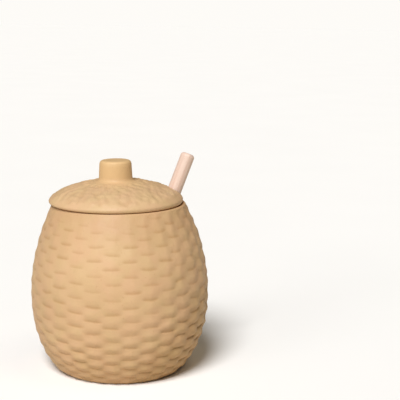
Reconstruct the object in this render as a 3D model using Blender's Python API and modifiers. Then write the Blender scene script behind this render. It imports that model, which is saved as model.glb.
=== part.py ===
"""Honey pot: hollow barrel-shaped ceramic pot, loose domed lid with a knob,
and a wooden dipper whose handle stands out through a notch in the lid's rim.
Metres, +Z up. Origin: middle of the base, on the surface the pot stands on."""
import math

import bmesh
import bpy
from mathutils import Matrix, Vector

# ----------------------------------------------------------------- dimensions
SEGMENTS = 64                  # facets round the pot and the lid

# pot body
BELLY_R = 0.0520               # largest radius
BELLY_Z = 0.0465               # height of the largest radius
SHOULDER_SPAN = 0.093773       # superellipse above the belly: span and exponents
SHOULDER_P = 1.90
SHOULDER_Q = 1.298
HIP_SPAN = 0.058154            # superellipse below the belly
HIP_P = 2.179
HIP_Q = 2.611
RIM_Z = 0.0983                 # crest of the pot's lip
CREST_R = 0.0376               # radius of the crest
LIP_ROUND_Z = 0.0017           # the lip's outside rounds over in this height
MOUTH_R = 0.0366               # throat, inside the lip
MOUTH_ROUND = 0.0010           # rounding of the lip's inner edge
WALL = 0.0030                  # wall, measured square to the surface
FLOOR_Z = 0.0052               # inside floor
FLOOR_BLEND = 0.009            # inside corner between wall and floor
BASE_EDGE = 0.0017             # rounding of the base's edge
FOOT_INNER_R = 0.0285          # hollow under the base, inside the foot ring
FOOT_HOLLOW = 0.0011

# the pot is slip-cast and not quite true: above the belly it leans, so that
# its mouth sits a little off the body's axis and a little out of level
LEAN_FROM_Z = 0.04405          # the lean starts here and is full at LEAN_FULL_Z
LEAN_FULL_Z = 0.09867
MOUTH_SHIFT = -0.00104         # along X
MOUTH_TILT = math.radians(0.573)   # right side up

# lid, heights above its own seat plane, radii about its own axis. It lies
# pushed to the left in the mouth and rides up a little on the right
LID_SEAT_AT = (-0.00270, 0.0, 0.09906)
LID_TILT = math.radians(1.22)      # right side up
LID_R = 0.03894                # widest radius of the lid
LID_SEAT_R = 0.03836           # radius at the seat
LID_WIDEST = 0.00120           # height of the widest radius
DOME_RISE = 0.01158            # superellipse dome above it
DOME_P = 1.83
DOME_Q = 1.57
LID_WALL = 0.0033
LID_EDGE = 0.0006
FLANGE_R = 0.0339              # locating flange, outside
FLANGE_T = 0.0026
FLANGE_DROP = 0.0055
KNOB_FOOT_R = 0.00985          # slightly conical knob
KNOB_TOP_R = 0.00918
KNOB_TOP = 0.02410             # height of its top above the seat
KNOB_EDGE = 0.0019
KNOB_FILLET = 0.0022

# dipper: its axis leans outwards, just inside the mouth and through the lid's notch
DIPPER_AXIS_AT = Vector((0.02980, 0.0090, 0.0988))     # where it crosses the mouth
DIPPER_LEAN_AZ = math.radians(17.0)
DIPPER_LEAN = math.atan(0.3941)
HANDLE_R = 0.0042
HANDLE_END_Z = 0.1256          # height of the axis at the handle's free end
HANDLE_ROUND = 0.0024
HEAD_END_Z = 0.0080            # height of the axis at the head's lower end
HEAD_R = 0.0130
HEAD_L = 0.0370
HEAD_GROOVES = 7
GROOVE_W = 0.0021
GROOVE_FLOOR_R = 0.0070
SOCKET_DEPTH = 0.0150          # handle's glued length inside the head
GLUE_GAP = 0.0003
SLOT_CLEAR = 0.0008            # between the handle and the lid's notch

# -------------------------------------------------------------------- helpers
for ob in list(bpy.data.objects):
    bpy.data.objects.remove(ob, do_unlink=True)

parts = bpy.data.collections.new("honey_pot")
cutters = bpy.data.collections.new("cutters")
for coll in (parts, cutters):
    bpy.context.scene.collection.children.link(coll)


def material(name, colour, roughness, metallic=0.0):
    mat = bpy.data.materials.new(name)
    mat.use_nodes = True
    bsdf = mat.node_tree.nodes["Principled BSDF"]
    bsdf.inputs["Base Color"].default_value = (*colour, 1.0)
    bsdf.inputs["Roughness"].default_value = roughness
    bsdf.inputs["Metallic"].default_value = metallic
    mat.diffuse_color = (*colour, 1.0)
    return mat


def turned(name, profile, mat, coll=parts, segments=SEGMENTS):
    """Closed solid from an (r, z) profile that runs top to bottom on its outer
    side and starts and ends on the axis, turned about Z by a Screw modifier."""
    mesh = bpy.data.meshes.new(name)
    verts = [(r, 0.0, z) for r, z in profile]
    mesh.from_pydata(verts, [(i, i + 1) for i in range(len(verts) - 1)], [])
    ob = bpy.data.objects.new(name, mesh)
    coll.objects.link(ob)
    mesh.materials.append(mat)
    mod = ob.modifiers.new("turn", "SCREW")
    mod.steps = segments
    mod.render_steps = segments
    mod.use_merge_vertices = True
    mod.merge_threshold = 0.00001
    mod.use_smooth_shade = True
    return ob


def frozen(ob):
    """Replace the object's mesh with its evaluated one, welded."""
    deps = bpy.context.evaluated_depsgraph_get()
    mesh = bpy.data.meshes.new_from_object(ob.evaluated_get(deps))
    bm = bmesh.new()
    bm.from_mesh(mesh)
    bmesh.ops.remove_doubles(bm, verts=bm.verts, dist=0.000005)
    bmesh.ops.recalc_face_normals(bm, faces=bm.faces)
    bm.to_mesh(mesh)
    bm.free()
    ob.modifiers.clear()
    ob.data = mesh
    return ob


def smooth(ob, angle=35.0):
    ob.data.shade_smooth()
    ob.data.set_sharp_from_angle(angle=math.radians(angle))


def as_cutter(ob):
    ob.hide_render = True
    ob.display_type = "WIRE"
    return ob


def cut(ob, cutter):
    mod = ob.modifiers.new("cut_" + cutter.name, "BOOLEAN")
    mod.operation = "DIFFERENCE"
    mod.solver = "EXACT"
    mod.object = cutter


def arc(cr, cz, radius, a0, a1, steps):
    """Points on an arc in the (r, z) plane, angles in degrees, 0 at +r."""
    pts = []
    for i in range(steps + 1):
        a = math.radians(a0 + (a1 - a0) * i / steps)
        pts.append((cr + radius * math.cos(a), cz + radius * math.sin(a)))
    return pts


def bend(p, corner, q, steps):
    """Points of a quadratic blend from p to q round a corner."""
    pts = []
    for i in range(steps + 1):
        t = i / steps
        pts.append(tuple((1 - t) ** 2 * p[k] + 2 * t * (1 - t) * corner[k] + t * t * q[k]
                         for k in range(2)))
    return pts


# ------------------------------------------------------------------ the shapes
def body_r(z):
    """Outer radius of the pot at height z."""
    if z >= BELLY_Z:
        t = (z - BELLY_Z) / SHOULDER_SPAN
        return BELLY_R * (1.0 - t ** SHOULDER_P) ** (1.0 / SHOULDER_Q)
    t = (BELLY_Z - z) / HIP_SPAN
    return BELLY_R * (1.0 - t ** HIP_P) ** (1.0 / HIP_Q)


def body_slope(z, h=0.0001):
    return (body_r(z + h) - body_r(z - h)) / (2.0 * h)


def inner_r(z):
    """Cavity radius at height z: the outer shape less the wall."""
    r = body_r(z) - WALL * math.sqrt(1.0 + body_slope(z) ** 2)
    return max(r, MOUTH_R) if z > BELLY_Z else r


def dome_z(r):
    """Height of the lid's outer surface above its seat, at radius r."""
    t = min(r / LID_R, 1.0)
    return LID_WIDEST + DOME_RISE * (1.0 - t ** DOME_P) ** (1.0 / DOME_Q)


def pot_profile():
    # over the lip and down the outside
    z_top = RIM_Z - LIP_ROUND_Z
    corner = (body_r(z_top) + body_slope(z_top) * LIP_ROUND_Z, RIM_Z)
    outside = [(CREST_R - 0.0002, RIM_Z)]
    outside += bend((CREST_R, RIM_Z), corner, (body_r(z_top), z_top), 4)
    z_low = BASE_EDGE * 1.6
    steps = 14
    for i in range(1, steps + 1):
        z = z_top + (z_low - z_top) * i / steps
        outside.append((body_r(z), z))
    base_r = body_r(0.0) - BASE_EDGE
    outside += bend((body_r(z_low * 0.6), z_low * 0.6), (body_r(0.0), 0.0), (base_r, 0.0), 3)
    # foot ring and the hollow under the base
    outside += [(FOOT_INNER_R + 0.0012, 0.0), (FOOT_INNER_R, FOOT_HOLLOW), (0.0, FOOT_HOLLOW)]
    # cavity, from the middle of the floor up to the lip's inner edge
    inside = [(0.0, FLOOR_Z)]
    wall_z = FLOOR_Z + FLOOR_BLEND
    inside += bend((inner_r(wall_z) - FLOOR_BLEND * 1.5, FLOOR_Z), (inner_r(FLOOR_Z + 0.003), FLOOR_Z + 0.0002),
                   (inner_r(wall_z), wall_z), 5)
    steps = 10
    z_end = RIM_Z - 3.0 * MOUTH_ROUND
    for i in range(1, steps + 1):
        z = wall_z + (z_end - wall_z) * i / steps
        inside.append((inner_r(z), z))
    inside += bend((MOUTH_R, RIM_Z - MOUTH_ROUND), (MOUTH_R, RIM_Z), (CREST_R - 0.0002, RIM_Z), 3)
    return outside, inside


def lean(mesh):
    """Shift and tilt the pot, easing in above LEAN_FROM_Z."""
    for v in mesh.vertices:
        u = (v.co.z - LEAN_FROM_Z) / (LEAN_FULL_Z - LEAN_FROM_Z)
        u = min(max(u, 0.0), 1.0)
        z = v.co.z + math.tan(MOUTH_TILT) * v.co.x * u * u
        v.co.x += MOUTH_SHIFT * (0.35 * u + 0.65 * u ** 3)
        v.co.z = z


# -------------------------------------------------------------------- the pot
glaze = material("pot_ceramic", (0.73, 0.50, 0.29), 0.55)
lid_glaze = material("lid_ceramic", (0.72, 0.50, 0.30), 0.55)
dowel_wood = material("dowel_wood", (0.84, 0.64, 0.48), 0.6)
head_wood = material("head_wood", (0.80, 0.60, 0.42), 0.6)

outside, inside = pot_profile()
# outer side top to bottom and back up the cavity, as one loop on one half plane
pot = turned("pot", outside + inside, glaze)
frozen(pot)
lean(pot.data)

# -------------------------------------------------------------------- the lid
foot_r = KNOB_FOOT_R
cone = (KNOB_FOOT_R - KNOB_TOP_R) / (KNOB_TOP - dome_z(foot_r))
profile = [(0.0, KNOB_TOP), (KNOB_TOP_R * 0.45, KNOB_TOP - 0.00008)]
profile += arc(KNOB_TOP_R - KNOB_EDGE, KNOB_TOP - KNOB_EDGE - 0.0001, KNOB_EDGE, 80, 4, 4)
z_fillet = dome_z(foot_r) + KNOB_FILLET
profile.append((KNOB_TOP_R + cone * (KNOB_TOP - z_fillet) * 0.5, 0.5 * (KNOB_TOP - KNOB_EDGE + z_fillet)))
r_dome = foot_r + KNOB_FILLET * 1.1
profile += bend((KNOB_TOP_R + cone * (KNOB_TOP - z_fillet), z_fillet), (foot_r, dome_z(foot_r)), (r_dome, dome_z(r_dome)), 4)
steps = 11
for i in range(1, steps + 1):
    a = 0.5 * math.pi * i / steps           # closer together towards the rim
    r = r_dome + (LID_R - r_dome) * math.sin(a)
    profile.append((r, dome_z(r)))
profile += bend((LID_R, LID_WIDEST * 0.75), (LID_SEAT_R + 0.0002, 0.0), (LID_SEAT_R - LID_EDGE, 0.0), 3)
profile += [(FLANGE_R, 0.0), (FLANGE_R, -FLANGE_DROP + 0.0006), (FLANGE_R - 0.0006, -FLANGE_DROP),
            (FLANGE_R - FLANGE_T, -FLANGE_DROP)]


def dome_in(r):
    h = 0.00005
    slope = (dome_z(r + h) - dome_z(r - h)) / (2 * h)
    return dome_z(r) - LID_WALL * math.sqrt(1.0 + slope * slope)


r_in = FLANGE_R - FLANGE_T
steps = 7
ceiling = [(r_in * (1.0 - i / steps), 0.0) for i in range(1, steps + 1)]
profile += [(r_in, dome_in(r_in - 0.002) - 0.0018)]
profile += [(r, dome_in(r) if r > 0.0001 else dome_in(0.002)) for r, _ in ceiling]
profile[-1] = (0.0, dome_in(0.002))
lid = turned("lid", profile, lid_glaze)
frozen(lid)
seat = Matrix.Translation(Vector(LID_SEAT_AT)) @ Matrix.Rotation(-LID_TILT, 4, "Y")
lid.data.transform(seat)

# --------------------------------------------------------- the dipper's frame
aslant = (Matrix.Rotation(DIPPER_LEAN_AZ, 4, "Z") @ Matrix.Rotation(DIPPER_LEAN, 4, "Y"))
axis_dir = (aslant @ Vector((0, 0, 1))).normalized()


def on_axis(z):
    return DIPPER_AXIS_AT + axis_dir * ((z - DIPPER_AXIS_AT.z) / axis_dir.z)


low_end, top_end = on_axis(HEAD_END_Z), on_axis(HANDLE_END_Z)
length = (top_end - low_end).length
dipper_frame = Matrix.Translation(low_end) @ aslant

# U notch in the lid's rim, along the handle and open outwards
slot_r = HANDLE_R + SLOT_CLEAR
bm = bmesh.new()
bmesh.ops.create_cone(bm, cap_ends=True, segments=32, radius1=slot_r, radius2=slot_r, depth=0.030)
me = bpy.data.meshes.new("rim_notch_round")
bm.to_mesh(me)
bm.free()
rim_notch = bpy.data.objects.new("rim_notch_round", me)
cutters.objects.link(as_cutter(rim_notch))
rim_notch.matrix_world = Matrix.Translation(DIPPER_AXIS_AT) @ aslant
bm = bmesh.new()
bmesh.ops.create_cube(bm, size=1.0)
bmesh.ops.scale(bm, vec=(0.016, 2 * slot_r, 0.030), verts=bm.verts)
bmesh.ops.translate(bm, vec=(0.008, 0.0, 0.0), verts=bm.verts)
me = bpy.data.meshes.new("rim_notch_mouth")
bm.to_mesh(me)
bm.free()
rim_mouth = bpy.data.objects.new("rim_notch_mouth", me)
cutters.objects.link(as_cutter(rim_mouth))
rim_mouth.matrix_world = Matrix.Translation(DIPPER_AXIS_AT) @ aslant
cut(lid, rim_notch)
cut(lid, rim_mouth)

# ------------------------------------------------------------- dipper, handle
handle_low = HEAD_L - SOCKET_DEPTH
profile = [(0.0, length)]
profile += arc(HANDLE_R - HANDLE_ROUND, length - HANDLE_ROUND * 0.9 - 0.0002, HANDLE_ROUND, 84, 0, 5)
profile += [(HANDLE_R, length * 0.7), (HANDLE_R, HEAD_L + 0.004), (HANDLE_R, handle_low + 0.0006),
            (HANDLE_R - 0.0006, handle_low), (0.0, handle_low)]
handle = turned("dipper_handle", profile, dowel_wood, segments=24)
frozen(handle)
handle.data.transform(dipper_frame)

# --------------------------------------------------------------- dipper, head


def head_r(t):
    """Outer radius of the head at t, 0 at its lower end and 1 at its neck."""
    s = 2.0 * t - 0.92
    return HEAD_R * math.sqrt(max(1.0 - 0.62 * s * s, 0.02))


bore = HANDLE_R + GLUE_GAP
profile = [(bore, HEAD_L), (bore + 0.0014, HEAD_L)]
neck = 0.0042
pitch = (HEAD_L - neck - 0.0045) / HEAD_GROOVES
z = HEAD_L - neck
profile += [(bore + 0.0020, HEAD_L - 0.0006), (GROOVE_FLOOR_R, z + 0.0004)]
for i in range(HEAD_GROOVES):
    z0, z1 = z, z - (pitch - GROOVE_W)
    r0, r1 = head_r(z0 / HEAD_L), head_r(z1 / HEAD_L)
    profile += [(GROOVE_FLOOR_R, z0), (r0 - 0.0004, z0), (r0, z0 - 0.0004),
                (r1, z1 + 0.0004), (r1 - 0.0004, z1), (GROOVE_FLOOR_R, z1)]
    z -= pitch
r_low = head_r(z / HEAD_L)
profile += [(GROOVE_FLOOR_R, z), (r_low - 0.0004, z), (r_low, z - 0.0004)]
profile += bend((r_low, z - 0.0008), (r_low - 0.0006, 0.0002), (0.0034, 0.0), 4)
profile += [(0.0, 0.0), (0.0, HEAD_L - SOCKET_DEPTH - GLUE_GAP)]
profile += [(bore - 0.0006, HEAD_L - SOCKET_DEPTH - GLUE_GAP), (bore, HEAD_L - SOCKET_DEPTH + 0.0002)]
head = turned("dipper_head", profile + [(bore, HEAD_L)], head_wood, segments=28)
frozen(head)
head.data.transform(dipper_frame)

for ob in (pot, lid, handle, head):
    smooth(ob)
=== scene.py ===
"""Looks for the honey pot: woven-relief ceramic pot and lid, turned wooden dipper,
soft studio light. Every visible piece is built here at its real size in the frame
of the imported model. Lengths are in metres."""
import math

import bmesh
import bpy
import numpy as np
from mathutils import Matrix, Vector


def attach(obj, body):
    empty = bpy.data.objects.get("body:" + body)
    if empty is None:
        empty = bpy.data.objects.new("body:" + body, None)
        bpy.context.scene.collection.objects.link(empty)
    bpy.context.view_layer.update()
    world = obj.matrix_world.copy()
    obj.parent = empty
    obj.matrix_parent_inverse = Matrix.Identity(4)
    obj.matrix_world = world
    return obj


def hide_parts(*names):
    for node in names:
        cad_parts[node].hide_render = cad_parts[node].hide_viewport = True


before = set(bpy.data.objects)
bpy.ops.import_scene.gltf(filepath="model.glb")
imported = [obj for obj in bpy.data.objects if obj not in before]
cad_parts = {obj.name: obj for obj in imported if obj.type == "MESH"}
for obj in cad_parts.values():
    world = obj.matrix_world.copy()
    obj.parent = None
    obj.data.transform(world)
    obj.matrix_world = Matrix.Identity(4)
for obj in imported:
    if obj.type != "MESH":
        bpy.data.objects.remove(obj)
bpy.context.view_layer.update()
scene = bpy.context.scene
MM = 0.001

# ------------------------------------------------------------------ dimensions
# the same driving dimensions as the construction
BELLY_R, BELLY_Z = 52.0, 46.5
SHOULDER_SPAN, SHOULDER_P, SHOULDER_Q = 93.773, 1.90, 1.298
HIP_SPAN, HIP_P, HIP_Q = 58.154, 2.179, 2.611
RIM_Z, CREST_R, LIP_ROUND_Z = 98.3, 37.6, 1.7
MOUTH_R, MOUTH_ROUND, WALL = 36.6, 1.0, 3.0
FLOOR_Z, FLOOR_BLEND = 5.2, 9.0
FOOT_INNER_R, FOOT_HOLLOW, BASE_EDGE = 28.5, 1.1, 1.7
LEAN_FROM_Z, LEAN_FULL_Z = 44.05, 98.67
MOUTH_SHIFT, MOUTH_TILT = -1.04, math.radians(0.573)

LID_SEAT_AT, LID_TILT = (-2.70, 0.0, 99.06), math.radians(1.22)
LID_R, LID_SEAT_R, LID_WIDEST = 38.94, 38.26, 1.20
DOME_RISE, DOME_P, DOME_Q = 11.58, 1.83, 1.57
LID_WALL = 3.3
FLANGE_R, FLANGE_T, FLANGE_DROP = 33.9, 2.6, 5.5
KNOB_FOOT_R, KNOB_TOP_R, KNOB_TOP, KNOB_EDGE, KNOB_FILLET = 9.85, 9.18, 24.10, 1.9, 2.2

DIPPER_AT = (29.80, 9.0, 98.8)
DIPPER_AZ, DIPPER_LEAN = math.radians(17.0), math.atan(0.3941)
HANDLE_R, HANDLE_END_Z, HEAD_END_Z = 4.2, 125.6, 8.0
HEAD_R, HEAD_L, HEAD_GROOVES, GROOVE_W, GROOVE_FLOOR_R = 13.0, 37.0, 7, 2.1, 7.0
SLOT_R = HANDLE_R + 0.8

# weave relief on the pot: stakes round the pot, half rows down its side
STAKES = 30
STAKE_AZ0 = -94.97                 # azimuth of a stake, degrees from +X towards +Y
ROW_TOP, ROW_LOW = -8.3, 16.3      # first and last half row of the relief
BULGE, CREASE = (0.05, 0.67), (0.055, 0.40)                # mm, near the lip and near the base
STAKE, TICK = (0.22, 0.21), 0.05


# --------------------------------------------------------------------- helpers
def value_noise(seed, nu, nv, u, v, wrap_u=True):
    """Smooth noise from -1 to 1 on an nu by nv lattice, u and v in lattice units."""
    rng = np.random.RandomState(seed)
    table = rng.uniform(-1.0, 1.0, (nu, nv))
    iu, iv = np.floor(u).astype(int), np.floor(v).astype(int)
    fu, fv = u - iu, v - iv
    fu, fv = fu * fu * (3 - 2 * fu), fv * fv * (3 - 2 * fv)
    a, b = (iu % nu, (iu + 1) % nu) if wrap_u else (np.clip(iu, 0, nu - 1), np.clip(iu + 1, 0, nu - 1))
    c, d = np.clip(iv, 0, nv - 1), np.clip(iv + 1, 0, nv - 1)
    return ((table[a, c] * (1 - fu) + table[b, c] * fu) * (1 - fv)
            + (table[a, d] * (1 - fu) + table[b, d] * fu) * fv)


def smoothstep(a, b, x):
    t = np.clip((x - a) / (b - a), 0.0, 1.0)
    return t * t * (3 - 2 * t)


def body_r(z):
    z = np.asarray(z, float)
    t = np.clip((z - BELLY_Z) / SHOULDER_SPAN, 0, 1)
    up = BELLY_R * (1 - t ** SHOULDER_P) ** (1 / SHOULDER_Q)
    t = np.clip((BELLY_Z - z) / HIP_SPAN, 0, 1)
    down = BELLY_R * (1 - t ** HIP_P) ** (1 / HIP_Q)
    return np.where(z >= BELLY_Z, up, down)


def body_slope(z, h=0.05):
    return (body_r(z + h) - body_r(z - h)) / (2 * h)


def inner_r(z):
    r = body_r(z) - WALL * np.sqrt(1 + body_slope(z) ** 2)
    return np.where(z > BELLY_Z, np.maximum(r, MOUTH_R), r)


def bend(p, corner, q, n):
    t = np.linspace(0, 1, n + 1)[:, None]
    p, corner, q = (np.array(x, float) for x in (p, corner, q))
    return (1 - t) ** 2 * p + 2 * t * (1 - t) * corner + t * t * q


def lean(p):
    """The pot's slight lean above the belly, on an (n, 3) array in mm."""
    u = np.clip((p[..., 2] - LEAN_FROM_Z) / (LEAN_FULL_Z - LEAN_FROM_Z), 0, 1)
    out = p.copy()
    out[..., 2] += math.tan(MOUTH_TILT) * p[..., 0] * u * u
    out[..., 0] += MOUTH_SHIFT * (0.35 * u + 0.65 * u ** 3)
    return out


def skin(name, loops, attrs=None, mats=()):
    """One mesh from a run of closed loops, each an (n, 3) array in mm. A loop may
    have a whole multiple of its neighbour's points, and a single point closes an end.
    The solid lies to the left of the run when seen with the loops counter-clockwise."""
    starts, verts, total = [], [], 0
    for lp in loops:
        starts.append(total)
        verts.append(lp)
        total += len(lp)
    faces = []
    for a in range(len(loops) - 1):
        na, nb = len(loops[a]), len(loops[a + 1])
        sa, sb = starts[a], starts[a + 1]
        if na == nb:
            i = np.arange(na)
            j = (i + 1) % na
            faces += np.stack([sa + i, sa + j, sb + j, sb + i], 1).tolist()
        elif nb == 1 or na == 1:
            n = max(na, nb)
            for i in range(n):
                j = (i + 1) % n
                faces.append([sa + i, sa + j, sb] if nb == 1 else [sa, sb + j, sb + i])
        elif na > nb:
            m = na // nb
            for i in range(nb):
                fine = [sa + (i * m + k) % na for k in range(m + 1)]
                faces.append(fine + [sb + (i + 1) % nb, sb + i])
        else:
            m = nb // na
            for i in range(na):
                fine = [sb + (i * m + k) % nb for k in range(m, -1, -1)]
                faces.append([sa + i, sa + (i + 1) % na] + fine)
    mesh = bpy.data.meshes.new(name)
    mesh.from_pydata((np.concatenate(verts) * MM).tolist(), [], faces)
    for key, values in (attrs or {}).items():
        at = mesh.attributes.new(key, "FLOAT", "POINT")
        at.data.foreach_set("value", np.concatenate(values).astype(np.float32))
    for m in mats:
        mesh.materials.append(m)
    mesh.validate()
    mesh.update()
    mesh.shade_smooth()
    ob = bpy.data.objects.new(name, mesh)
    scene.collection.objects.link(ob)
    return ob


def outward(ob):
    """Faces pointing out, whatever the order of the loops."""
    bm = bmesh.new()
    bm.from_mesh(ob.data)
    bmesh.ops.recalc_face_normals(bm, faces=bm.faces)
    bm.to_mesh(ob.data)
    bm.free()
    return ob


# ------------------------------------------------------------------- materials
class Graph:
    """A small wrapper that keeps node trees readable."""

    def __init__(self, name):
        self.mat = bpy.data.materials.new(name)
        self.mat.use_nodes = True
        self.tree = self.mat.node_tree
        self.bsdf = self.tree.nodes["Principled BSDF"]

    def node(self, kind, _inputs=None, **props):
        n = self.tree.nodes.new(kind)
        for k, v in props.items():
            setattr(n, k, v)
        for k, v in (_inputs or {}).items():
            if isinstance(v, bpy.types.NodeSocket):
                self.tree.links.new(v, n.inputs[k])
            else:
                n.inputs[k].default_value = v
        return n

    def link(self, a, b):
        self.tree.links.new(a, b)

    def math(self, op, a, b=0.5, c=None, clamp=False):
        n = self.node("ShaderNodeMath", {0: a, 1: b}, operation=op, use_clamp=clamp)
        if c is not None:
            n.inputs[2].default_value = c
        return n.outputs[0]

    def mix(self, fac, a, b, blend="MIX"):
        n = self.node("ShaderNodeMix", data_type="RGBA", blend_type=blend)
        for i, v in ((0, fac), (6, a), (7, b)):
            if isinstance(v, bpy.types.NodeSocket):
                self.link(v, n.inputs[i])
            else:
                n.inputs[i].default_value = v
        return n.outputs[2]

    def noise(self, coord, scale, detail=3.0, rough=0.55, distortion=0.0, out="Fac"):
        n = self.node("ShaderNodeTexNoise", {"Vector": coord, "Scale": scale, "Detail": detail,
                                             "Roughness": rough, "Distortion": distortion})
        return n.outputs[out]

    def ramp(self, fac, stops):
        n = self.node("ShaderNodeValToRGB", {"Fac": fac})
        while len(n.color_ramp.elements) < len(stops):
            n.color_ramp.elements.new(0.5)
        for e, (pos, col) in zip(n.color_ramp.elements, stops):
            e.position = pos
            e.color = (*col, 1.0) if len(col) == 3 else col
        return n.outputs["Color"]

    def bump(self, height, strength, distance, normal=None):
        n = self.node("ShaderNodeBump", {"Height": height, "Strength": strength, "Distance": distance})
        if normal is not None:
            self.link(normal, n.inputs["Normal"])
        return n.outputs["Normal"]


def srgb(r, g, b):
    return tuple(((c / 255 + 0.055) / 1.055) ** 2.4 if c > 10 else c / 255 / 12.92 for c in (r, g, b))


def dimmed(c, k=0.75):
    return tuple(x * k for x in c)


def ceramic(name, base, deep, pale, knob=None):
    """Honey-coloured silky glaze over a relief: darker in the creases and
    hollows, partly glaze pooling and partly painted shade, paler in random
    patches, with fine specks and a soft orange-peel surface, and brown
    painted shade in the seam between lid and pot."""
    base, deep, pale, knob = dimmed(base), dimmed(deep), dimmed(pale), knob and dimmed(knob)
    g = Graph(name)
    co = g.node("ShaderNodeTexCoord").outputs["Object"]
    relief = g.node("ShaderNodeAttribute", attribute_name="relief").outputs["Fac"]
    cloud = g.noise(co, 28.0, 3.0, 0.5)
    tone = g.ramp(cloud, [(0.30, tuple(c * 0.95 for c in base)), (0.72, tuple(min(c * 1.04, 1.0) for c in base))])
    warm = g.noise(co, 55.0, 2.0, 0.6)
    tone = g.mix(g.ramp(warm, [(0.45, (0, 0, 0)), (0.75, (0.35, 0.35, 0.35))]), tone, (*pale, 1.0))
    # painted shade with glaze pooling: darker in the creases and hollows that the relief attribute marks
    crease = g.ramp(relief, [(0.0, (0.34, 0.34, 0.34)), (0.45, (0.17, 0.17, 0.17)), (0.9, (0.0, 0.0, 0.0))])
    tone = g.mix(crease, tone, (*deep, 1.0))
    # the glaze is a touch greener in some places and a touch pinker in others
    hue = g.ramp(g.noise(co, 95.0, 2.0, 0.5, 0.4), [(0.34, (0.970, 1.0, 0.955)), (0.66, (1.0, 0.978, 0.99))])
    tone = g.mix(1.0, tone, hue, "MULTIPLY")
    height = g.node("ShaderNodeSeparateXYZ", {"Vector": co}).outputs["Z"]
    if not knob:
        # darker towards the bottom of the pot
        foot = g.node("ShaderNodeMapRange", {"Value": height, "From Min": 0.004, "From Max": 0.024,
                                             "To Min": 0.12, "To Max": 0.0}).outputs[0]
        tone = g.mix(foot, tone, (*deep, 1.0))
        # painted shadow of the lid: the pot darkens towards the lip
        lid_shadow_mask = g.node("ShaderNodeMapRange", {"Value": height, "From Min": 0.080, "From Max": 0.094,
                                            "To Min": 0.0, "To Max": 0.13}).outputs[0]
        tone = g.mix(lid_shadow_mask, tone, (*deep, 1.0))
        # painted shade: the pot is darker and warmer low on the right
        low_right_shade = g.node("ShaderNodeVectorMath", {0: co, 1: (0.9, -0.1, -0.8)}, operation="DOT_PRODUCT").outputs["Value"]
        low_right_shade = g.node("ShaderNodeMapRange", {"Value": low_right_shade, "From Min": -0.004, "From Max": 0.014,
                                            "To Min": 0.0, "To Max": 1.0}, interpolation_type="SMOOTHSTEP").outputs[0]
        tone = g.mix(low_right_shade, tone, g.mix(1.0, tone, (0.905, 0.885, 0.81, 1.0), "MULTIPLY"))
    if knob:
        high = height
        high = g.node("ShaderNodeMapRange", {"Value": high, "From Min": 0.1085, "From Max": 0.1150,
                                             "To Min": 0.0, "To Max": 1.0}).outputs[0]
        tone = g.mix(high, tone, (*knob, 1.0))
    # painted shade for the seam between lid and pot: brown on the lid's seat ring and the lip's top
    seam_shade = g.node("ShaderNodeAttribute", attribute_name="seam_shade").outputs["Fac"]
    seam_shade_tone = g.ramp(g.noise(co, 600.0, 3.0, 0.6), [(0.3, srgb(158, 104, 58)), (0.7, srgb(180, 126, 74))])
    tone = g.mix(seam_shade, tone, seam_shade_tone)
    speck = g.noise(co, 900.0, 2.0, 0.6)
    tone = g.mix(g.ramp(speck, [(0.66, (0, 0, 0)), (0.74, (0.25, 0.25, 0.25))]), tone, (*deep, 1.0))
    g.link(tone, g.bsdf.inputs["Base Color"])
    rough = g.noise(co, 180.0, 3.0, 0.6)
    rough = g.node("ShaderNodeMapRange", {"Value": rough, "From Min": 0.3, "From Max": 0.7,
                                          "To Min": 0.46, "To Max": 0.60}).outputs[0]
    g.link(rough, g.bsdf.inputs["Roughness"])
    g.bsdf.inputs["Specular IOR Level"].default_value = 0.36
    peel = g.noise(co, 420.0, 2.0, 0.5)
    grain = g.noise(co, 1500.0, 3.0, 0.6)
    n1 = g.bump(peel, 0.30, 0.00035)
    n2 = g.bump(grain, 0.22, 0.00012, n1)
    g.link(n2, g.bsdf.inputs["Normal"])
    return g.mat


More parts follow.
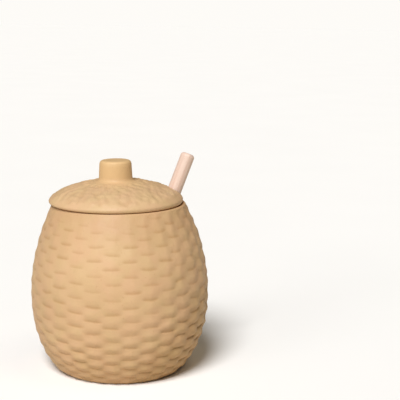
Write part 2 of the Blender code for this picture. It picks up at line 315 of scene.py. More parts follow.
def wood(name, pale, mid, dark, knot_scale=1.0):
    """Sanded pale hardwood: long grain streaks along local Z, short ray flecks,
    faint growth bands and open end grain."""
    pale, mid, dark = dimmed(pale, 0.84), dimmed(mid, 0.84), dimmed(dark, 0.84)
    g = Graph(name)
    co = g.node("ShaderNodeTexCoord").outputs["Object"]
    along = g.node("ShaderNodeMapping", {"Vector": co, "Scale": (1.0, 1.0, 0.045)}).outputs[0]
    ring_co = g.node("ShaderNodeMapping", {"Vector": co, "Location": (0.011, -0.006, 0.0),
                                           "Scale": (1.0, 0.8, 0.02)}).outputs[0]
    bands = g.node("ShaderNodeTexWave", {"Vector": ring_co, "Scale": 95.0 * knot_scale, "Distortion": 2.2,
                                         "Detail": 3.0, "Detail Scale": 1.6, "Detail Roughness": 0.6},
                   wave_type="RINGS", rings_direction="Z", wave_profile="SIN").outputs["Fac"]
    streak = g.noise(along, 900.0, 4.0, 0.62)
    broad = g.noise(along, 210.0, 2.0, 0.5)
    tone = g.ramp(streak, [(0.28, mid), (0.62, pale)])
    tone = g.mix(g.ramp(broad, [(0.40, (0.0, 0.0, 0.0)), (0.75, (0.40, 0.40, 0.40))]), tone, (*mid, 1.0))
    tone = g.mix(g.ramp(bands, [(0.60, (0, 0, 0)), (1.0, (0.30, 0.30, 0.30))]), tone, (*dark, 1.0))
    fleck_co = g.node("ShaderNodeMapping", {"Vector": co, "Scale": (1.0, 1.0, 0.16)}).outputs[0]
    fleck = g.noise(fleck_co, 2300.0, 1.0, 0.5)
    fleck = g.ramp(fleck, [(0.66, (0, 0, 0)), (0.74, (0.6, 0.6, 0.6))])
    tone = g.mix(fleck, tone, (*dark, 1.0))
    g.link(tone, g.bsdf.inputs["Base Color"])
    rough = g.node("ShaderNodeMapRange", {"Value": streak, "From Min": 0.3, "From Max": 0.7,
                                          "To Min": 0.62, "To Max": 0.50}).outputs[0]
    g.link(rough, g.bsdf.inputs["Roughness"])
    g.bsdf.inputs["Specular IOR Level"].default_value = 0.32
    n1 = g.bump(streak, 0.25, 0.00012)
    n2 = g.bump(fleck, 0.25, 0.00005, n1)
    g.link(n2, g.bsdf.inputs["Normal"])
    return g.mat


pot_glaze = ceramic("pot_ceramic_look", srgb(234, 193, 148), srgb(180, 128, 66), srgb(240, 203, 161))
lid_glaze = ceramic("lid_ceramic_look", srgb(236, 197, 152), srgb(186, 136, 82), srgb(243, 205, 163),
                    srgb(244, 204, 150))
handle_wood = wood("dowel_wood_look", srgb(247, 222, 207), srgb(238, 208, 191), srgb(213, 174, 154))
head_wood = wood("head_wood_look", srgb(232, 194, 152), srgb(216, 172, 128), srgb(176, 128, 86), 0.8)


# ---------------------------------------------------------------- weave relief
def weave(u, v, stakes, seed, bulge, crease_depth):
    """Height of the moulded weave in mm (0 at a strand's crown), and how deep in a
    crease each point lies (0 to 1). u counts stakes round, v counts half rows down.
    Strand ends dive in at every second stake, so each stake carries short level
    creases two half rows apart, half a period off those of its neighbours."""
    i0, k0 = np.floor(u).astype(int), np.floor(v).astype(int)
    uneven = value_noise(seed, stakes, 64, u, v + 24.0)
    cu = np.tanh(1.5 * np.cos(np.pi * u)) / math.tanh(1.5)
    soft = -cu * np.cos(np.pi * v)
    # crowns are broad, hollows narrower
    soft = soft - 0.22 * (1 - soft ** 2)
    h = bulge * (soft - 1.0) * 0.5 * (1 + 0.22 * uneven)
    crease = np.zeros_like(h)
    for di in (0, 1):
        for dk in (-1, 0, 1, 2):
            i, k = i0 + di, k0 + dk
            here = ((i + k) % 2) == 0
            im = i % stakes
            rng = cell_random(im, k + 24, seed)
            du, dv = u - i, v - k
            # a crease is a little bent and tilted, each in its own way
            dv = dv - (rng[0] - 0.5) * 0.16 - du * (rng[1] - 0.5) * 0.30 + 0.30 * du ** 2
            du = du - (rng[2] - 0.5) * 0.10
            half = 0.47 + 0.08 * (rng[3] - 0.5)
            along = 1 - smoothstep(half - 0.22, half + 0.12, np.abs(du))
            # the strand above rolls in over the one below: long upper side, short lower one
            side = np.where(dv < 0, np.exp(-(np.abs(dv) / 0.30) ** 1.3), np.exp(-(np.abs(dv) / 0.11) ** 1.3))
            g = np.where(here, along * side * (0.58 + 0.75 * rng[4]), 0.0)
            crease = np.maximum(crease, g)
            # faint upright mark that hangs from many creases
            du2 = (du - 0.13 - 0.12 * (rng[5] - 0.5)) / 0.055
            hang = smoothstep(0.0, 0.12, dv) * (1 - smoothstep(0.6 + 0.5 * rng[6], 1.0 + 0.6 * rng[6], dv))
            t = np.where(here, np.exp(-du2 ** 2) * hang * np.clip(rng[7] * 1.6 - 0.3, 0, 1), 0.0)
            h = h - TICK * t
    return h - crease_depth * crease, np.clip(crease, 0, 1)


def cell_random(i, k, seed):
    """Eight repeatable random numbers for each weave cell."""
    out = []
    for n in range(8):
        x = np.sin(i * 12.9898 + k * 78.233 + seed * 3.17 + n * 37.719) * 43758.5453
        out.append(x - np.floor(x))
    return out


# ------------------------------------------------------------------------- pot
N_OUT, N_IN = 420, 140


def ring(r, z, n):
    a = np.radians(STAKE_AZ0) + 2 * np.pi * np.arange(n) / n
    r = np.broadcast_to(r, (n,))
    return np.stack([r * np.cos(a), r * np.sin(a), np.broadcast_to(z, (n,))], 1)


def build_pot():
    loops, relief = [], []

    def add(lp, value=1.0):
        loops.append(lp)
        relief.append(np.broadcast_to(value, (len(lp),)) if np.ndim(value) == 0 else value)

    # cavity, middle of the floor outwards and up the wall
    wall_z = FLOOR_Z + FLOOR_BLEND
    start_r = float(inner_r(wall_z)) - FLOOR_BLEND * 1.5
    add(np.array([[0.0, 0.0, FLOOR_Z]]))
    for r in np.linspace(3.0, start_r, 8)[:-1]:
        add(ring(r, FLOOR_Z, N_IN))
    corner = (float(inner_r(FLOOR_Z + 3.0)), FLOOR_Z + 0.2)
    for r, z in bend((start_r, FLOOR_Z), corner, (float(inner_r(wall_z)), wall_z), 12):
        add(ring(r, z, N_IN))
    z_end = RIM_Z - 3.0 * MOUTH_ROUND
    for z in np.linspace(wall_z, z_end, 30)[1:]:
        add(ring(float(inner_r(z)), z, N_IN))
    add(ring(MOUTH_R, RIM_Z - 2.2 * MOUTH_ROUND, N_IN))
    # fine loops from here: rounded lip
    add(ring(MOUTH_R, RIM_Z - 1.6 * MOUTH_ROUND, N_OUT))
    for r, z in bend((MOUTH_R, RIM_Z - MOUTH_ROUND), (MOUTH_R, RIM_Z), (CREST_R - 0.2, RIM_Z), 5):
        add(ring(r, z, N_OUT))
    z_top = RIM_Z - 0.85
    corner = (float(body_r(z_top) + body_slope(z_top) * 0.85), RIM_Z)
    for r, z in bend((CREST_R, RIM_Z), corner, (float(body_r(z_top)), z_top), 7):
        add(ring(r, z, N_OUT))
    # outside: arc length from the belly, and the half rows on it
    zz = np.linspace(0.0, RIM_Z, 3000)
    ss = np.concatenate([[0], np.cumsum(np.hypot(np.diff(zz), np.diff(body_r(zz))))])
    ss -= np.interp(BELLY_Z, zz, ss)
    jj = np.linspace(-12, 19, 1500)
    row_s = 14.617 - 4.1303 * jj - 0.00167 * jj ** 2 + 0.00109 * jj ** 3
    v_top = np.interp(-np.interp(z_top, zz, ss), -row_s, jj)
    v_low = np.interp(-np.interp(BASE_EDGE * 1.5, zz, ss), -row_s, jj)
    steps = np.array([0.0, 0.07, 0.18, 0.34, 0.53, 0.72, 0.89])
    vs = [k + f for k in range(-12, 19) for f in steps]
    vs = [v for v in vs if v_top + 0.06 < v < v_low - 0.02]
    # few rows are needed on the smooth band
    vs = [v for v in vs if v > ROW_TOP - 2.2 or round(v % 1, 2) in (0.0, 0.34, 0.72)]
    u = STAKES * np.arange(N_OUT) / N_OUT
    az = 2 * np.pi * np.arange(N_OUT) / N_OUT + np.radians(STAKE_AZ0)
    # the relief is deeper on the right, and starts nearer the lip there
    turned_by = (np.degrees(az) + 90.0) % 360.0
    strong = smoothstep(6.0, 44.0, turned_by) * (1 - smoothstep(150.0, 215.0, turned_by))
    row_top = ROW_TOP - 1.3 * strong
    calm = smoothstep(228.0, 255.0, turned_by) * (1 - smoothstep(292.0, 334.0, turned_by))
    # the strands stand out further on the left and right flanks
    flank = smoothstep(0.66, 0.96, np.abs(np.cos(az)))
    for v in vs + [v_low]:
        s = np.interp(v, jj, row_s)
        z = np.interp(s, ss, zz)
        r, sl = float(body_r(z)), float(body_slope(z))
        nr, nz = 1 / math.hypot(1, sl), -sl / math.hypot(1, sl)
        down = np.full(N_OUT, v + 24.0)
        low = float(smoothstep(-9.0, 13.5, v)) ** 1.8
        uu = u + (0.05 + 0.03 * strong) * value_noise(71, STAKES, 64, u, down * 0.5) \
            + (0.03 + 0.05 * strong + 0.05 * calm) * value_noise(75, STAKES, 64, u, down * 0.9)
        uu = uu + 0.10 * strong * (1 - low) * value_noise(79, STAKES, 64, u, down * 0.7)
        vv = v + 0.06 * value_noise(72, 12, 64, u * 0.4, down * 0.5) \
            + (0.04 + 0.10 * strong + 0.05 * calm) * value_noise(76, 2 * STAKES, 64, u * 2, down * 0.8)
        bulge = (BULGE[0] + (BULGE[1] - BULGE[0]) * low) * (1 + (0.62 - 0.52 * low) * strong - 0.36 * calm) \
            + 0.28 * flank * (1 - low) ** 2
        crease = (CREASE[0] + (CREASE[1] - CREASE[0]) * low) * (1 + (0.62 + 0.30 * low + 2.2 * low * (1 - low)) * strong - 0.36 * calm)
        h, deep = weave(uu, vv, STAKES, 5, bulge, crease)
        h = h - 0.10 * strong * (1 - low) * (0.5 + 0.5 * np.cos(np.pi * vv) * np.cos(np.pi * uu))
        fold = (STAKE[0] + (STAKE[1] - STAKE[0]) * low) * (1 + (1.05 - 0.80 * low) * strong - 0.45 * calm) * (
            smoothstep(row_top - 1.7, row_top + 0.2, v) * (1 - smoothstep(ROW_LOW - 0.3, ROW_LOW + 0.5, v)))
        # every stake lifts the strands into a low upright fold, broken from row to row where it is high
        fold = fold * (1 - 0.60 * strong * (1 - low) * np.clip(0.45 + 0.9 * value_noise(78, STAKES, 64, u, down * 0.95), 0, 1))
        sway = 0.07 + 0.05 * value_noise(8, STAKES, 64, u, np.full(N_OUT, v + 24.0))
        fold = fold * (0.45 - np.abs(np.sin(np.pi * (uu - sway))) ** 1.35)
        fade = smoothstep(row_top - 0.9, row_top + 1.4, v) * (1 - smoothstep(ROW_LOW - 0.3, ROW_LOW + 0.5, v))
        soft = 0.05 * value_noise(73, 16, 32, u * 16 / STAKES, np.full(N_OUT, v + 24.0) * 0.35)
        # small unevenness of the moulded surface, less on the smooth band
        lumps = (0.035 + 0.03 * strong + 0.03 * calm) * value_noise(74, 2 * STAKES, 64, u * 2, np.full(N_OUT, v + 24.0) * 1.1) \
            + 0.12 * strong * (1 - 0.5 * low) * value_noise(77, STAKES, 64, u, np.full(N_OUT, v + 24.0) * 0.8)
        d = (h + 0.04 + 0.28 * low) * fade + fold + soft + lumps * (0.25 + 0.75 * fade)
        # the relief value falls in creases and hollows, where the glaze darkens: partly glaze pooling, partly painted
        # shade
        add(np.stack([(r + d * nr) * np.cos(az), (r + d * nr) * np.sin(az), z + d * nz], 1),
            1.0 - np.maximum(deep, 0.60 * smoothstep(0.15, 0.95, -(h + fold))) * fade)
    # base edge, foot ring and the hollow under the base
    z_low = BASE_EDGE * 1.5
    base_r = float(body_r(0.0)) - BASE_EDGE
    low_d = loops[-1]
    low_r = np.hypot(low_d[:, 0], low_d[:, 1])
    edge = bend((float(body_r(z_low)), z_low), (float(body_r(0.0)) + 0.1, 0.0), (base_r, 0.0), 7)
    for i, (r, z) in enumerate(edge[1:]):
        keep = (1 - (i + 1) / 7) ** 2
        add(ring(r + keep * (low_r - edge[0][0]), z, N_OUT))
    add(ring(base_r - 1.2, 0.0, N_OUT))
    add(ring(FOOT_INNER_R + 2.0, 0.0, N_IN))
    for r, z in bend((FOOT_INNER_R + 1.2, 0.0), (FOOT_INNER_R + 0.3, 0.0), (FOOT_INNER_R, FOOT_HOLLOW * 0.6), 4):
        add(ring(r, z, N_IN))
    for r, z in bend((FOOT_INNER_R, FOOT_HOLLOW * 0.6), (FOOT_INNER_R - 0.1, FOOT_HOLLOW),
                     (FOOT_INNER_R - 1.4, FOOT_HOLLOW), 4)[1:]:
        add(ring(r, z, N_IN))
    for r in np.linspace(FOOT_INNER_R - 4.0, 3.0, 8):
        add(ring(r, FOOT_HOLLOW, N_IN))
    add(np.array([[0.0, 0.0, FOOT_HOLLOW]]))
    # painted shade for the seam: brown on the lip's top
    seam_shade = []
    for lp in loops:
        r, z = np.hypot(lp[:, 0], lp[:, 1]), lp[:, 2]
        seam_shade.append(smoothstep(RIM_Z - 0.40, RIM_Z - 0.12, z) * smoothstep(MOUTH_R - 1.0, MOUTH_R - 0.3, r)
                    * (1 - smoothstep(CREST_R - 0.1, CREST_R + 0.35, r)))
    ob = skin("pot_woven", [lean(lp) for lp in loops], {"relief": relief, "seam_shade": seam_shade}, [pot_glaze])
    return outward(ob)


pot = build_pot()
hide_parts("pot")
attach(pot, "pot")


# ------------------------------------------------------------------------- lid
def dome_z(r):
    t = np.clip(np.asarray(r, float) / LID_R, 0, 1)
    return LID_WIDEST + DOME_RISE * (1 - t ** DOME_P) ** (1 / DOME_Q)


def dome_in(r, h=0.05):
    """Ceiling of the lid, the dome less the wall square to it."""
    r = np.asarray(r, float)
    slope = (dome_z(r + h) - dome_z(np.maximum(r - h, 0))) / (2 * h)
    return dome_z(r) - LID_WALL * np.sqrt(1 + np.minimum(slope ** 2, 0.6))


seat = Matrix.Translation(Vector(LID_SEAT_AT)) @ Matrix.Rotation(-LID_TILT, 4, "Y")
aslant = Matrix.Rotation(DIPPER_AZ, 4, "Z") @ Matrix.Rotation(DIPPER_LEAN, 4, "Y")
axis_world = aslant.to_3x3() @ Vector((0, 0, 1))
back = seat.inverted()
axis_at = back @ Vector(DIPPER_AT)
axis_dir = back.to_3x3() @ axis_world
side_dir = np.array([axis_dir.x, axis_dir.y]) / math.hypot(axis_dir.x, axis_dir.y)
across = np.array([-side_dir[1], side_dir[0]])
stretch = 1.0 / abs(axis_dir.z) if axis_dir.z else 1.0

N_LID = 600
N_NOTCH = 78                       # points of a loop that follow the notch


LEAN_T = math.hypot(axis_dir.x, axis_dir.y) / axis_dir.z


def notch_outline(off, reach):
    """U outline of the notch where the lid meets the pot, widened by off, from its
    mouth on one side round its end to its mouth on the other, in the lid's plane."""
    c = np.array([axis_at.x, axis_at.y]) - side_dir * LEAN_T * axis_at.z
    w = SLOT_R + off
    a = np.linspace(-np.pi / 2, np.pi / 2, 90)
    end = c - side_dir * (np.cos(a) * w * stretch)[:, None] + across * (np.sin(a) * w)[:, None]
    out = np.linspace(0, reach, 60)[1:]
    w1 = c + side_dir * out[::-1, None] - across * w
    w2 = c + side_dir * out[:, None] + across * w
    return np.concatenate([w1, end, w2])


def notched(rmax, off):
    """Boundary of a disc of radius rmax with the notch cut from it: N_LID points,
    counter-clockwise, starting at the notch's end. The corners are eased."""
    line = notch_outline(off, 22.0)
    rr = np.hypot(line[:, 0], line[:, 1])
    inside = np.where(rr < rmax)[0]
    half = N_NOTCH // 2
    if len(inside) < 4:
        a = math.atan2(side_dir[1], side_dir[0]) + 2 * np.pi * np.arange(N_LID) / N_LID
        return np.stack([rmax * np.cos(a), rmax * np.sin(a)], 1)
    i0, i1 = inside[0], inside[-1]

    def cross(p, q):
        lo, hi = 0.0, 1.0
        for _ in range(40):
            m = 0.5 * (lo + hi)
            if np.hypot(*(p + (q - p) * m)) < rmax:
                lo = m
            else:
                hi = m
        return p + (q - p) * lo
    first = cross(line[i0], line[i0 - 1])
    last = cross(line[i1], line[i1 + 1])
    cut = np.concatenate([[first], line[i0:i1 + 1], [last]])
    s = np.concatenate([[0], np.cumsum(np.hypot(*np.diff(cut, axis=0).T))])
    t = np.linspace(0, s[-1], N_NOTCH + 1)
    cut = np.stack([np.interp(t, s, cut[:, 0]), np.interp(t, s, cut[:, 1])], 1)
    a1, a0 = math.atan2(last[1], last[0]), math.atan2(first[1], first[0])
    if a0 < a1:
        a0 += 2 * np.pi
    arc = np.linspace(a1, a0, N_LID - N_NOTCH + 1)
    rim = np.stack([rmax * np.cos(arc), rmax * np.sin(arc)], 1)
    loop = np.concatenate([cut[half:], rim[1:-1], cut[:half]])
    n = len(loop)
    idx = np.arange(n)
    near = np.minimum(np.abs(idx - (N_NOTCH - half)), np.abs(idx - (n - half)))
    weight = np.clip(1 - near / 5.0, 0, 1)[:, None]
    for _ in range(10):
        avg = 0.5 * (np.roll(loop, 1, 0) + np.roll(loop, -1, 0))
        loop = loop + 0.5 * weight * (avg - loop)
    return loop


# 1 on the notch, 0 on the rim
_i = np.arange(N_LID)
_d = np.minimum(_i, N_LID - _i)
NOTCH_SIDE = 1 - smoothstep(N_NOTCH / 2 - 3, N_NOTCH / 2 + 3, _d)
NOTCH_IN = 1 - smoothstep(20, N_NOTCH / 2 - 2, _d)
LID_AZ = math.atan2(side_dir[1], side_dir[0]) + 2 * np.pi * _i / N_LID

RINGS = [(36.5, 32, 0.11), (32.7, 32, 0.61), (28.9, 26, 0.27), (25.1, 26, 0.77),
         (21.3, 20, 0.05), (17.6, 20, 0.55), (13.9, 14, 0.34)]        # radius, bulges, phase
RING_PITCH = 3.8
LID_BULGE, LID_GROOVE, LID_CREASE = 0.40, 0.13, 0.13


def lid_relief(p):
    """Coiled relief on the dome: each ring is a coil of short bulges, and rings next
    to each other are half a bulge apart. The coils waver a little."""
    r, a = np.hypot(p[:, 0], p[:, 1]), np.arctan2(p[:, 1], p[:, 0])
    at = (a / (2 * np.pi)) % 1.0
    r = r + 0.55 * value_noise(31, 24, 16, at * 24, r / 3.8)
    h, total, deep = np.zeros_like(r), np.zeros_like(r), np.zeros_like(r)
    for k, (rk, n, phase) in enumerate(RINGS):
        turn = at * n + phase
        cell = np.floor(turn + 0.5)
        rng = cell_random(cell % n, k + 40, 9)
        # distance from the radial crease, in bulge lengths
        x = turn - cell - (rng[0] - 0.5) * 0.46
        slant = (r - rk) / RING_PITCH
        x = x - slant * 0.35 * (rng[1] - 0.35)
        w = np.clip(1.08 - np.abs(slant), 0, 1) ** 1.5
        bead = -np.cos(2 * np.pi * x)
        h += w * LID_BULGE * 0.5 * (bead - 1.0) * (1 + 1.1 * (rng[2] - 0.5))
        # no two bulges sit quite alike
        h += w * np.cos(np.pi * np.clip(x, -0.5, 0.5)) * (0.40 * (rng[4] - 0.5) + 0.7 * (rng[5] - 0.5) * x
                                                          + 0.45 * (rng[6] - 0.5) * slant)
        g = np.exp(-(np.abs(x) / 0.13) ** 1.5) * (1 - smoothstep(0.25, 0.70, np.abs(slant))) * (0.2 + 1.0 * rng[3])
        deep = np.maximum(deep, g)
        total += w
    h = h / np.maximum(total, 0.3)
    turns = (36.5 + RING_PITCH / 2 - r) / RING_PITCH
    depth = LID_GROOVE * (0.8 + 0.9 * value_noise(33, 30, 16, at * 30, r / 3.8))
    h = h - depth * (0.5 + 0.5 * np.cos(2 * np.pi * turns)) ** 1.4
    h = h - LID_CREASE * deep
    fade = smoothstep(12.4, 15.5, r) * (1 - smoothstep(36.0, 38.0, r))
    # the relief is blotchy rather than beaded on the right
    right = (0.5 + 0.5 * np.cos(a + 0.45)) ** 4
    h = h * (0.86 - 0.50 * right) - 0.06 * right + (0.14 + 0.06 * right) * value_noise(35, 18, 16, at * 18, r / 5.0)
    # lumps of the hand-finished mould, longer from front to back
    h = h + (0.24 + 0.08 * right) * value_noise(36, 64, 64, p[:, 0] / 2.2 + 32.0, p[:, 1] / 6.0 + 32.0)
    h = h + 0.09 * value_noise(37, 96, 96, p[:, 0] / 1.3 + 48.0, p[:, 1] / 3.0 + 48.0)
    # darker in the creases and hollows: partly glaze pooling, partly painted shade
    pooling_and_shade = np.maximum(0.35 * np.clip(deep, 0, 1), 0.4 * smoothstep(0.15, 0.55, -h))
    return (h + 0.30) * fade, 1.0 - pooling_and_shade * fade


def circle(r, n):
    a = math.atan2(side_dir[1], side_dir[0]) + 2 * np.pi * np.arange(n) / n
    return np.stack([r * np.cos(a), r * np.sin(a)], 1)


def lift(xy, z):
    return np.concatenate([xy, np.broadcast_to(z, (len(xy),))[:, None]], 1)


def slide(xy, z):
    """The notch leans with the dipper: its inner end moves out with height."""
    return xy + side_dir * (LEAN_T * z * NOTCH_IN)[:, None]


def under(r):
    """Height of the lid's underside: seat, locating flange, hollow."""
    r_in = FLANGE_R - FLANGE_T
    flange = smoothstep(r_in - 0.35, r_in + 0.05, r) * (1 - smoothstep(FLANGE_R - 0.05, FLANGE_R + 0.35, r))
    hollow = dome_in(np.minimum(r, r_in)) * (1 - smoothstep(r_in - 0.35, r_in + 0.05, r))
    return hollow - FLANGE_DROP * flange


def build_lid():
    loops, relief, seam_shade = [], [], []

    def add(lp, value=1.0, seam_shade_at=0.0):
        loops.append(lp)
        relief.append(np.broadcast_to(value, (len(lp),)))
        seam_shade.append(np.broadcast_to(seam_shade_at, (len(lp),)))

    n_knob = N_LID // 4
    add(np.array([[0.0, 0.0, KNOB_TOP]]))
    for r in np.linspace(1.2, KNOB_TOP_R - KNOB_EDGE, 7):
        add(lift(circle(r, n_knob), KNOB_TOP - 0.10 * (r / KNOB_TOP_R) ** 2))
    a = np.radians(np.linspace(84, 4, 10))
    for x in a:
        add(lift(circle(KNOB_TOP_R - KNOB_EDGE + KNOB_EDGE * math.cos(x), n_knob),
                 KNOB_TOP - KNOB_EDGE - 0.08 + KNOB_EDGE * math.sin(x)))
    cone = (KNOB_FOOT_R - KNOB_TOP_R) / (KNOB_TOP - float(dome_z(KNOB_FOOT_R)))
    z_fillet = float(dome_z(KNOB_FOOT_R)) + KNOB_FILLET
    for z in np.linspace(KNOB_TOP - KNOB_EDGE - 0.4, z_fillet, 9)[:-1]:
        add(lift(circle(KNOB_TOP_R + cone * (KNOB_TOP - z), n_knob), z))
    r_dome = KNOB_FOOT_R + KNOB_FILLET * 1.1
    fillet = bend((KNOB_TOP_R + cone * (KNOB_TOP - z_fillet), z_fillet), (KNOB_FOOT_R, float(dome_z(KNOB_FOOT_R))),
                  (r_dome, float(dome_z(r_dome))), 9)
    # darker in the fillet at the knob's foot: partly glaze pooling, partly painted shade
    for i, (r, z) in enumerate(fillet):
        add(lift(circle(r, n_knob), z), 1.0 - 0.6 * math.sin(math.pi * i / (len(fillet) - 1)))
    # dome: circles at first, then easing into the notched outline
    for r in np.arange(r_dome + 0.42, 22.0, 0.42):
        xy = circle(r, N_LID)
        d, v = lid_relief(xy)
        add(lift(xy, dome_z(r) + d), v)
    edge_off = 3.2

    def outline(off):
        xy = notched(LID_R - off, off)
        return slide(xy, dome_z(np.hypot(*xy.T)))

    inner, outer = circle(22.0, N_LID), outline(edge_off)
    steps = 34
    for f in np.linspace(0, 1, steps + 1):
        xy = inner * (1 - f) + outer * f
        d, v = lid_relief(xy)
        add(lift(xy, dome_z(np.hypot(*xy.T)) + d), v)
    # the last millimetres follow the outline; the notch's top edge is rounded
    ease = 1.1
    for off in (2.8, 2.4, 2.0, 1.65, 1.35, 1.1, 0.88, 0.70, 0.54, 0.40, 0.28, 0.18, 0.10, 0.045, 0.012, 0.0):
        xy = outline(off)
        d, v = lid_relief(xy)
        r = np.hypot(*xy.T)
        drop = ease - math.sqrt(max(ease ** 2 - max(ease - off, 0) ** 2, 0))
        z = dome_z(np.minimum(r, LID_R)) + d - drop * NOTCH_SIDE
        add(lift(xy, z), v)
    top_z = loops[-1][:, 2].copy()
    # round the rim and down the notch's wall to the underside
    base = notched(LID_R, 0.0)
    foot = notched(LID_SEAT_R, 0.0)
    foot_z = under(np.hypot(*foot.T)) * NOTCH_SIDE
    side = [(LID_R - (LID_R - LID_SEAT_R) * t ** 3.2, LID_WIDEST * math.cos(math.pi / 2 * t ** 0.8))
            for t in np.linspace(0, 1, 11)[1:]]
    lean_to = np.cos(np.arctan2(base[:, 1], base[:, 0]))
    right = np.clip(lean_to, 0, 1) ** 2
    sag = -(0.42 + 0.40 * lean_to + 0.22 * right) * (1 - NOTCH_SIDE)
    # the brown seat ring under the rim, painted shade for the seam, comes down close to the lip all round
    seat_drop = -(0.57 + 0.44 * lean_to + 0.20 * right) * (1 - NOTCH_SIDE)
    for i, (r, z) in enumerate(side):
        f = (i + 1) / len(side)
        zz = z * (1 - NOTCH_SIDE) + (top_z * (1 - f) + foot_z * f) * NOTCH_SIDE + sag * f
        xy = base * (r / LID_R) * (1 - NOTCH_SIDE)[:, None] + (base * (1 - f) + foot * f) * NOTCH_SIDE[:, None]
        # painted shade for the seam: brown at the foot of the rim
        add(lift(slide(xy, zz), zz), 1.0, (1 - smoothstep(0.04, 0.22, z)) * (1 - NOTCH_SIDE))
    # seat and flange
    rin = FLANGE_R - FLANGE_T
    shape = [(37.95, 0.0), (37.75, 0.0), (36.3, 0.0), (35.4, 0.0), (34.6, 0.0)]
    shape += [tuple(q) for q in bend((FLANGE_R + 0.5, 0.0), (FLANGE_R, 0.0), (FLANGE_R, -0.6), 3)]
    shape += [(FLANGE_R, -2.6)]
    shape += [tuple(q) for q in bend((FLANGE_R, -FLANGE_DROP + 0.7), (FLANGE_R, -FLANGE_DROP), (FLANGE_R - 0.7, -FLANGE_DROP), 4)]
    shape += [tuple(q) for q in bend((rin + 0.7, -FLANGE_DROP), (rin, -FLANGE_DROP), (rin, -FLANGE_DROP + 0.7), 4)]
    shape += [(rin, -2.0), (rin - 0.02, 0.8), (rin - 0.2, float(dome_in(rin)) - 0.8), (rin - 0.9, float(dome_in(rin - 0.9)) - 0.1)]
    for i, (r, z) in enumerate(shape):
        xy = notched(r, 0.04 * (i + 1))
        zu = under(np.hypot(*xy.T))
        zz = z * (1 - NOTCH_SIDE) + zu * NOTCH_SIDE
        zz = zz + sag * np.interp(r, [37.75, 37.95], [0, 1]) + seat_drop * np.interp(r, [35.4, 36.3, 37.75, 37.95], [0, 1, 1, 0])
        # painted shade for the seam: brown on the seat and the flange's outer face
        add(lift(slide(xy, zz), zz), 1.0, 1.0 if r > FLANGE_R - 0.4 else 0.0)
    # hollow, easing back to circles, then the middle
    start = loops[-1][:, :2]
    for f in np.linspace(0, 1, 22)[1:]:
        xy = start * (1 - f) + circle(22.0, N_LID) * f
        add(lift(xy, under(np.hypot(*xy.T))))
    for r in np.linspace(20.0, 3.0, 9):
        add(lift(circle(r, n_knob), float(dome_in(r))))
    add(np.array([[0.0, 0.0, float(dome_in(2.0))]]))
    m = np.array(seat)
    world = [lp @ m[:3, :3].T + m[:3, 3] for lp in loops]
    return outward(skin("lid_woven", world, {"relief": relief, "seam_shade": seam_shade}, [lid_glaze]))


lid = build_lid()
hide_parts("lid")
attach(lid, "lid")


# ---------------------------------------------------------------------- dipper
def on_axis(z):
    p, d = Vector(DIPPER_AT), axis_world
    return p + d * ((z - p.z) / d.z)


low_end, top_end = on_axis(HEAD_END_Z), on_axis(HANDLE_END_Z)
length = (top_end - low_end).length
dipper_at = Matrix.Translation(low_end * MM) @ aslant


def turned(name, profile, n, mat, wobble=0.0, seed=1):
    """Turned solid in the dipper's own frame, from (r, z) points in mm, top to bottom."""
    a = 2 * np.pi * np.arange(n) / n
    loops = []
    for r, z in profile:
        if r < 1e-6:
            loops.append(np.array([[0.0, 0.0, z]]))
            continue
        rr = r + wobble * value_noise(seed, 10, 40, a / (2 * np.pi) * 10, np.full(n, z * 0.25))
        loops.append(np.stack([rr * np.cos(a), rr * np.sin(a), np.full(n, float(z))], 1))
    ob = outward(skin(name, loops, None, [mat]))
    ob.matrix_world = dipper_at
    return ob


def arc(cr, cz, rad, a0, a1, n):
    a = np.radians(np.linspace(a0, a1, n + 1))
    return [(cr + rad * math.cos(x), cz + rad * math.sin(x)) for x in a]


prof = [(0.0, length), (1.0, length - 0.02)]
prof += arc(HANDLE_R - 2.0, length - 2.05, 2.0, 88, 0, 12)
prof += [(HANDLE_R, z) for z in np.linspace(length - 4, HEAD_L - 14.6, 70)]
prof += [(HANDLE_R - 0.5, HEAD_L - 15.0), (0.0, HEAD_L - 15.0)]
handle = turned("dipper_dowel", prof, 72, handle_wood, 0.035, 3)
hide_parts("dipper_handle")
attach(handle, "dipper")


def head_r(t):
    s = 2.0 * t - 0.92
    return HEAD_R * math.sqrt(max(1 - 0.62 * s * s, 0.02))


bore = HANDLE_R + 0.3
neck = 4.2
pitch = (HEAD_L - neck - 4.5) / HEAD_GROOVES
prof = [(bore, HEAD_L - 15.0), (bore, HEAD_L - 0.3), (bore + 0.3, HEAD_L)]
prof += [tuple(q) for q in bend((bore + 1.0, HEAD_L), (bore + 1.9, HEAD_L), (bore + 2.1, HEAD_L - 1.0), 5)]
z = HEAD_L - neck
prof += [tuple(q) for q in bend((bore + 2.2, HEAD_L - 1.6), (bore + 2.3, z + 0.6), (GROOVE_FLOOR_R + 0.9, z), 5)]
for i in range(HEAD_GROOVES):
    z0, z1 = z, z - (pitch - GROOVE_W)
    r0, r1 = head_r(z0 / HEAD_L), head_r(z1 / HEAD_L)
    e = 0.7
    prof += [tuple(q) for q in bend((r0 - e, z0), (r0, z0), (r0, z0 - e), 4)]
    prof += [tuple(q) for q in bend((r1, z1 + e), (r1, z1), (r1 - e, z1), 4)]
    f = 0.9
    prof += [tuple(q) for q in bend((GROOVE_FLOOR_R + f, z1), (GROOVE_FLOOR_R, z1), (GROOVE_FLOOR_R, z1 - f), 3)]
    z -= pitch
    prof += [tuple(q) for q in bend((GROOVE_FLOOR_R, z + f), (GROOVE_FLOOR_R, z), (GROOVE_FLOOR_R + f, z), 3)]
r_low = head_r(z / HEAD_L)
prof += [tuple(q) for q in bend((r_low - 0.7, z), (r_low, z), (r_low, z - 0.7), 4)]
prof += [tuple(q) for q in bend((r_low, z - 1.0), (r_low - 0.6, 0.2), (3.4, 0.0), 12)]
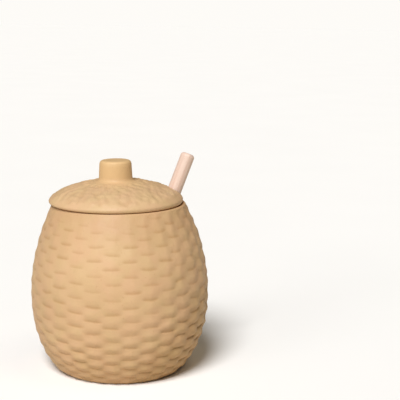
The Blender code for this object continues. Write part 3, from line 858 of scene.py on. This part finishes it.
prof += [(1.5, 0.0), (0.0, 0.0)]
prof = [(0.0, HEAD_L - 15.3), (bore - 0.6, HEAD_L - 15.3)] + prof
head = turned("dipper_grooved_head", prof, 120, head_wood, 0.03, 8)
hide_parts("dipper_head")
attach(head, "dipper")


# --------------------------------------------------------------------- setting
FLOOR_TONE = (0.955, 0.952, 0.946)
BOUNCE_TONE = (0.79, 0.74, 0.635)
AMBIENT = (0.080, 0.074, 0.064)
# name, degrees to the left of the viewer's side, height in degrees, irradiance, width in degrees, colour
LIGHTS = [("key", 20.0, 51.0, 3.30, 23.0, (1.0, 1.0, 1.0)),
          ("left_fill", 45.0, 20.0, 0.42, 26.0, (1.0, 1.0, 1.0)),
          ("right_fill", -65.0, 66.0, 0.32, 26.0, (1.0, 0.86, 0.62))]


def build_backdrop():
    """Plain pale floor, wide enough to reach the horizon."""
    radii = [0.15, 0.4, 1.0, 2.5, 6.0, 14.0, 30.0]
    n = 64
    turn = [2 * math.pi * i / n for i in range(n)]
    verts = [(0.0, 0.0, 0.0)] + [(r * math.cos(t), r * math.sin(t), 0.0) for r in radii for t in turn]
    faces = [(0, 1 + i, 1 + (i + 1) % n) for i in range(n)]
    for j in range(len(radii) - 1):
        p, q = 1 + j * n, 1 + (j + 1) * n
        faces += [(p + i, q + i, q + (i + 1) % n, p + (i + 1) % n) for i in range(n)]
    me = bpy.data.meshes.new("backdrop")
    me.from_pydata(verts, [], faces)
    me.update()
    ob = bpy.data.objects.new("backdrop", me)
    scene.collection.objects.link(ob)
    g = Graph("pale_floor")
    co = g.node("ShaderNodeTexCoord").outputs["Object"]
    g.link(g.ramp(g.noise(co, 6.0, 2.0), [(0.3, tuple(c * 0.993 for c in FLOOR_TONE)),
                                          (0.7, tuple(c * 1.007 for c in FLOOR_TONE))]), g.bsdf.inputs["Base Color"])
    g.bsdf.inputs["Roughness"].default_value = 1.0
    g.bsdf.inputs["Specular IOR Level"].default_value = 0.0
    soft = g.node("ShaderNodeBsdfDiffuse", {"Color": (*BOUNCE_TONE, 1.0)})
    ray = g.node("ShaderNodeLightPath")
    both = g.node("ShaderNodeMixShader", {0: ray.outputs["Is Camera Ray"], 1: soft.outputs[0], 2: g.bsdf.outputs[0]})
    g.link(both.outputs[0], g.tree.nodes["Material Output"].inputs["Surface"])
    me.materials.append(g.mat)
    return ob


backdrop = build_backdrop()


def far_light(name, az, el, irradiance, wide, colour):
    """A large soft light far away; az in degrees to the left of the viewer's side."""
    data = bpy.data.lights.new(name, "SUN")
    data.energy = irradiance
    data.angle = math.radians(wide)
    data.color = colour
    ob = bpy.data.objects.new(name, data)
    scene.collection.objects.link(ob)
    a, e = math.radians(az), math.radians(el)
    at = Vector((-math.sin(a) * math.cos(e), -math.cos(a) * math.cos(e), math.sin(e)))
    ob.location = at * 2.0
    ob.rotation_mode = "QUATERNION"
    ob.rotation_quaternion = (-at).to_track_quat("-Z", "Y")
    return ob


for args in LIGHTS:
    far_light(*args)

# faint light from all round; the part above the horizon looks like the lit floor
world = bpy.data.worlds.new("studio")
scene.world = world
world.use_nodes = True
tree = world.node_tree
ambient = tree.nodes["Background"]
ambient.inputs["Color"].default_value = (*AMBIENT, 1.0)
ambient.inputs["Strength"].default_value = 1.0
lit = [FLOOR_TONE[i] * (AMBIENT[i] + sum(e * math.sin(math.radians(el)) * col[i] for _, _, el, e, _, col in LIGHTS) / math.pi)
       for i in range(3)]
seen = tree.nodes.new("ShaderNodeBackground")
seen.inputs["Color"].default_value = (*lit, 1.0)
seen.inputs["Strength"].default_value = 1.0
ray = tree.nodes.new("ShaderNodeLightPath")
both = tree.nodes.new("ShaderNodeMixShader")
tree.links.new(ray.outputs["Is Camera Ray"], both.inputs[0])
tree.links.new(ambient.outputs[0], both.inputs[1])
tree.links.new(seen.outputs[0], both.inputs[2])
tree.links.new(both.outputs[0], tree.nodes["World Output"].inputs["Surface"])

# ---------------------------------------------------------------------- camera
cam_data = bpy.data.cameras.new("camera")
cam_data.sensor_width = 36.0
cam_data.lens = 36.0 * 1038.52 / 400.0
cam_data.clip_start, cam_data.clip_end = 0.01, 20.0
camera = bpy.data.objects.new("camera", cam_data)
scene.collection.objects.link(camera)
right = Vector((0.9971, -0.07418, 0.01727)).normalized()
fwd = Vector((0.07606, 0.98175, -0.17429)).normalized()
up = right.cross(fwd).normalized()
right = fwd.cross(up).normalized()
camera.matrix_world = Matrix((
    (right.x, up.x, -fwd.x, 0.0),
    (right.y, up.y, -fwd.y, -0.59765),
    (right.z, up.z, -fwd.z, 0.20586),
    (0.0, 0.0, 0.0, 1.0)))
scene.camera = camera
scene.view_settings.view_transform = "Standard"
scene.view_settings.look = "None"
scene.view_settings.exposure = 0.0
scene.view_settings.gamma = 1.0

bpy.context.view_layer.update()
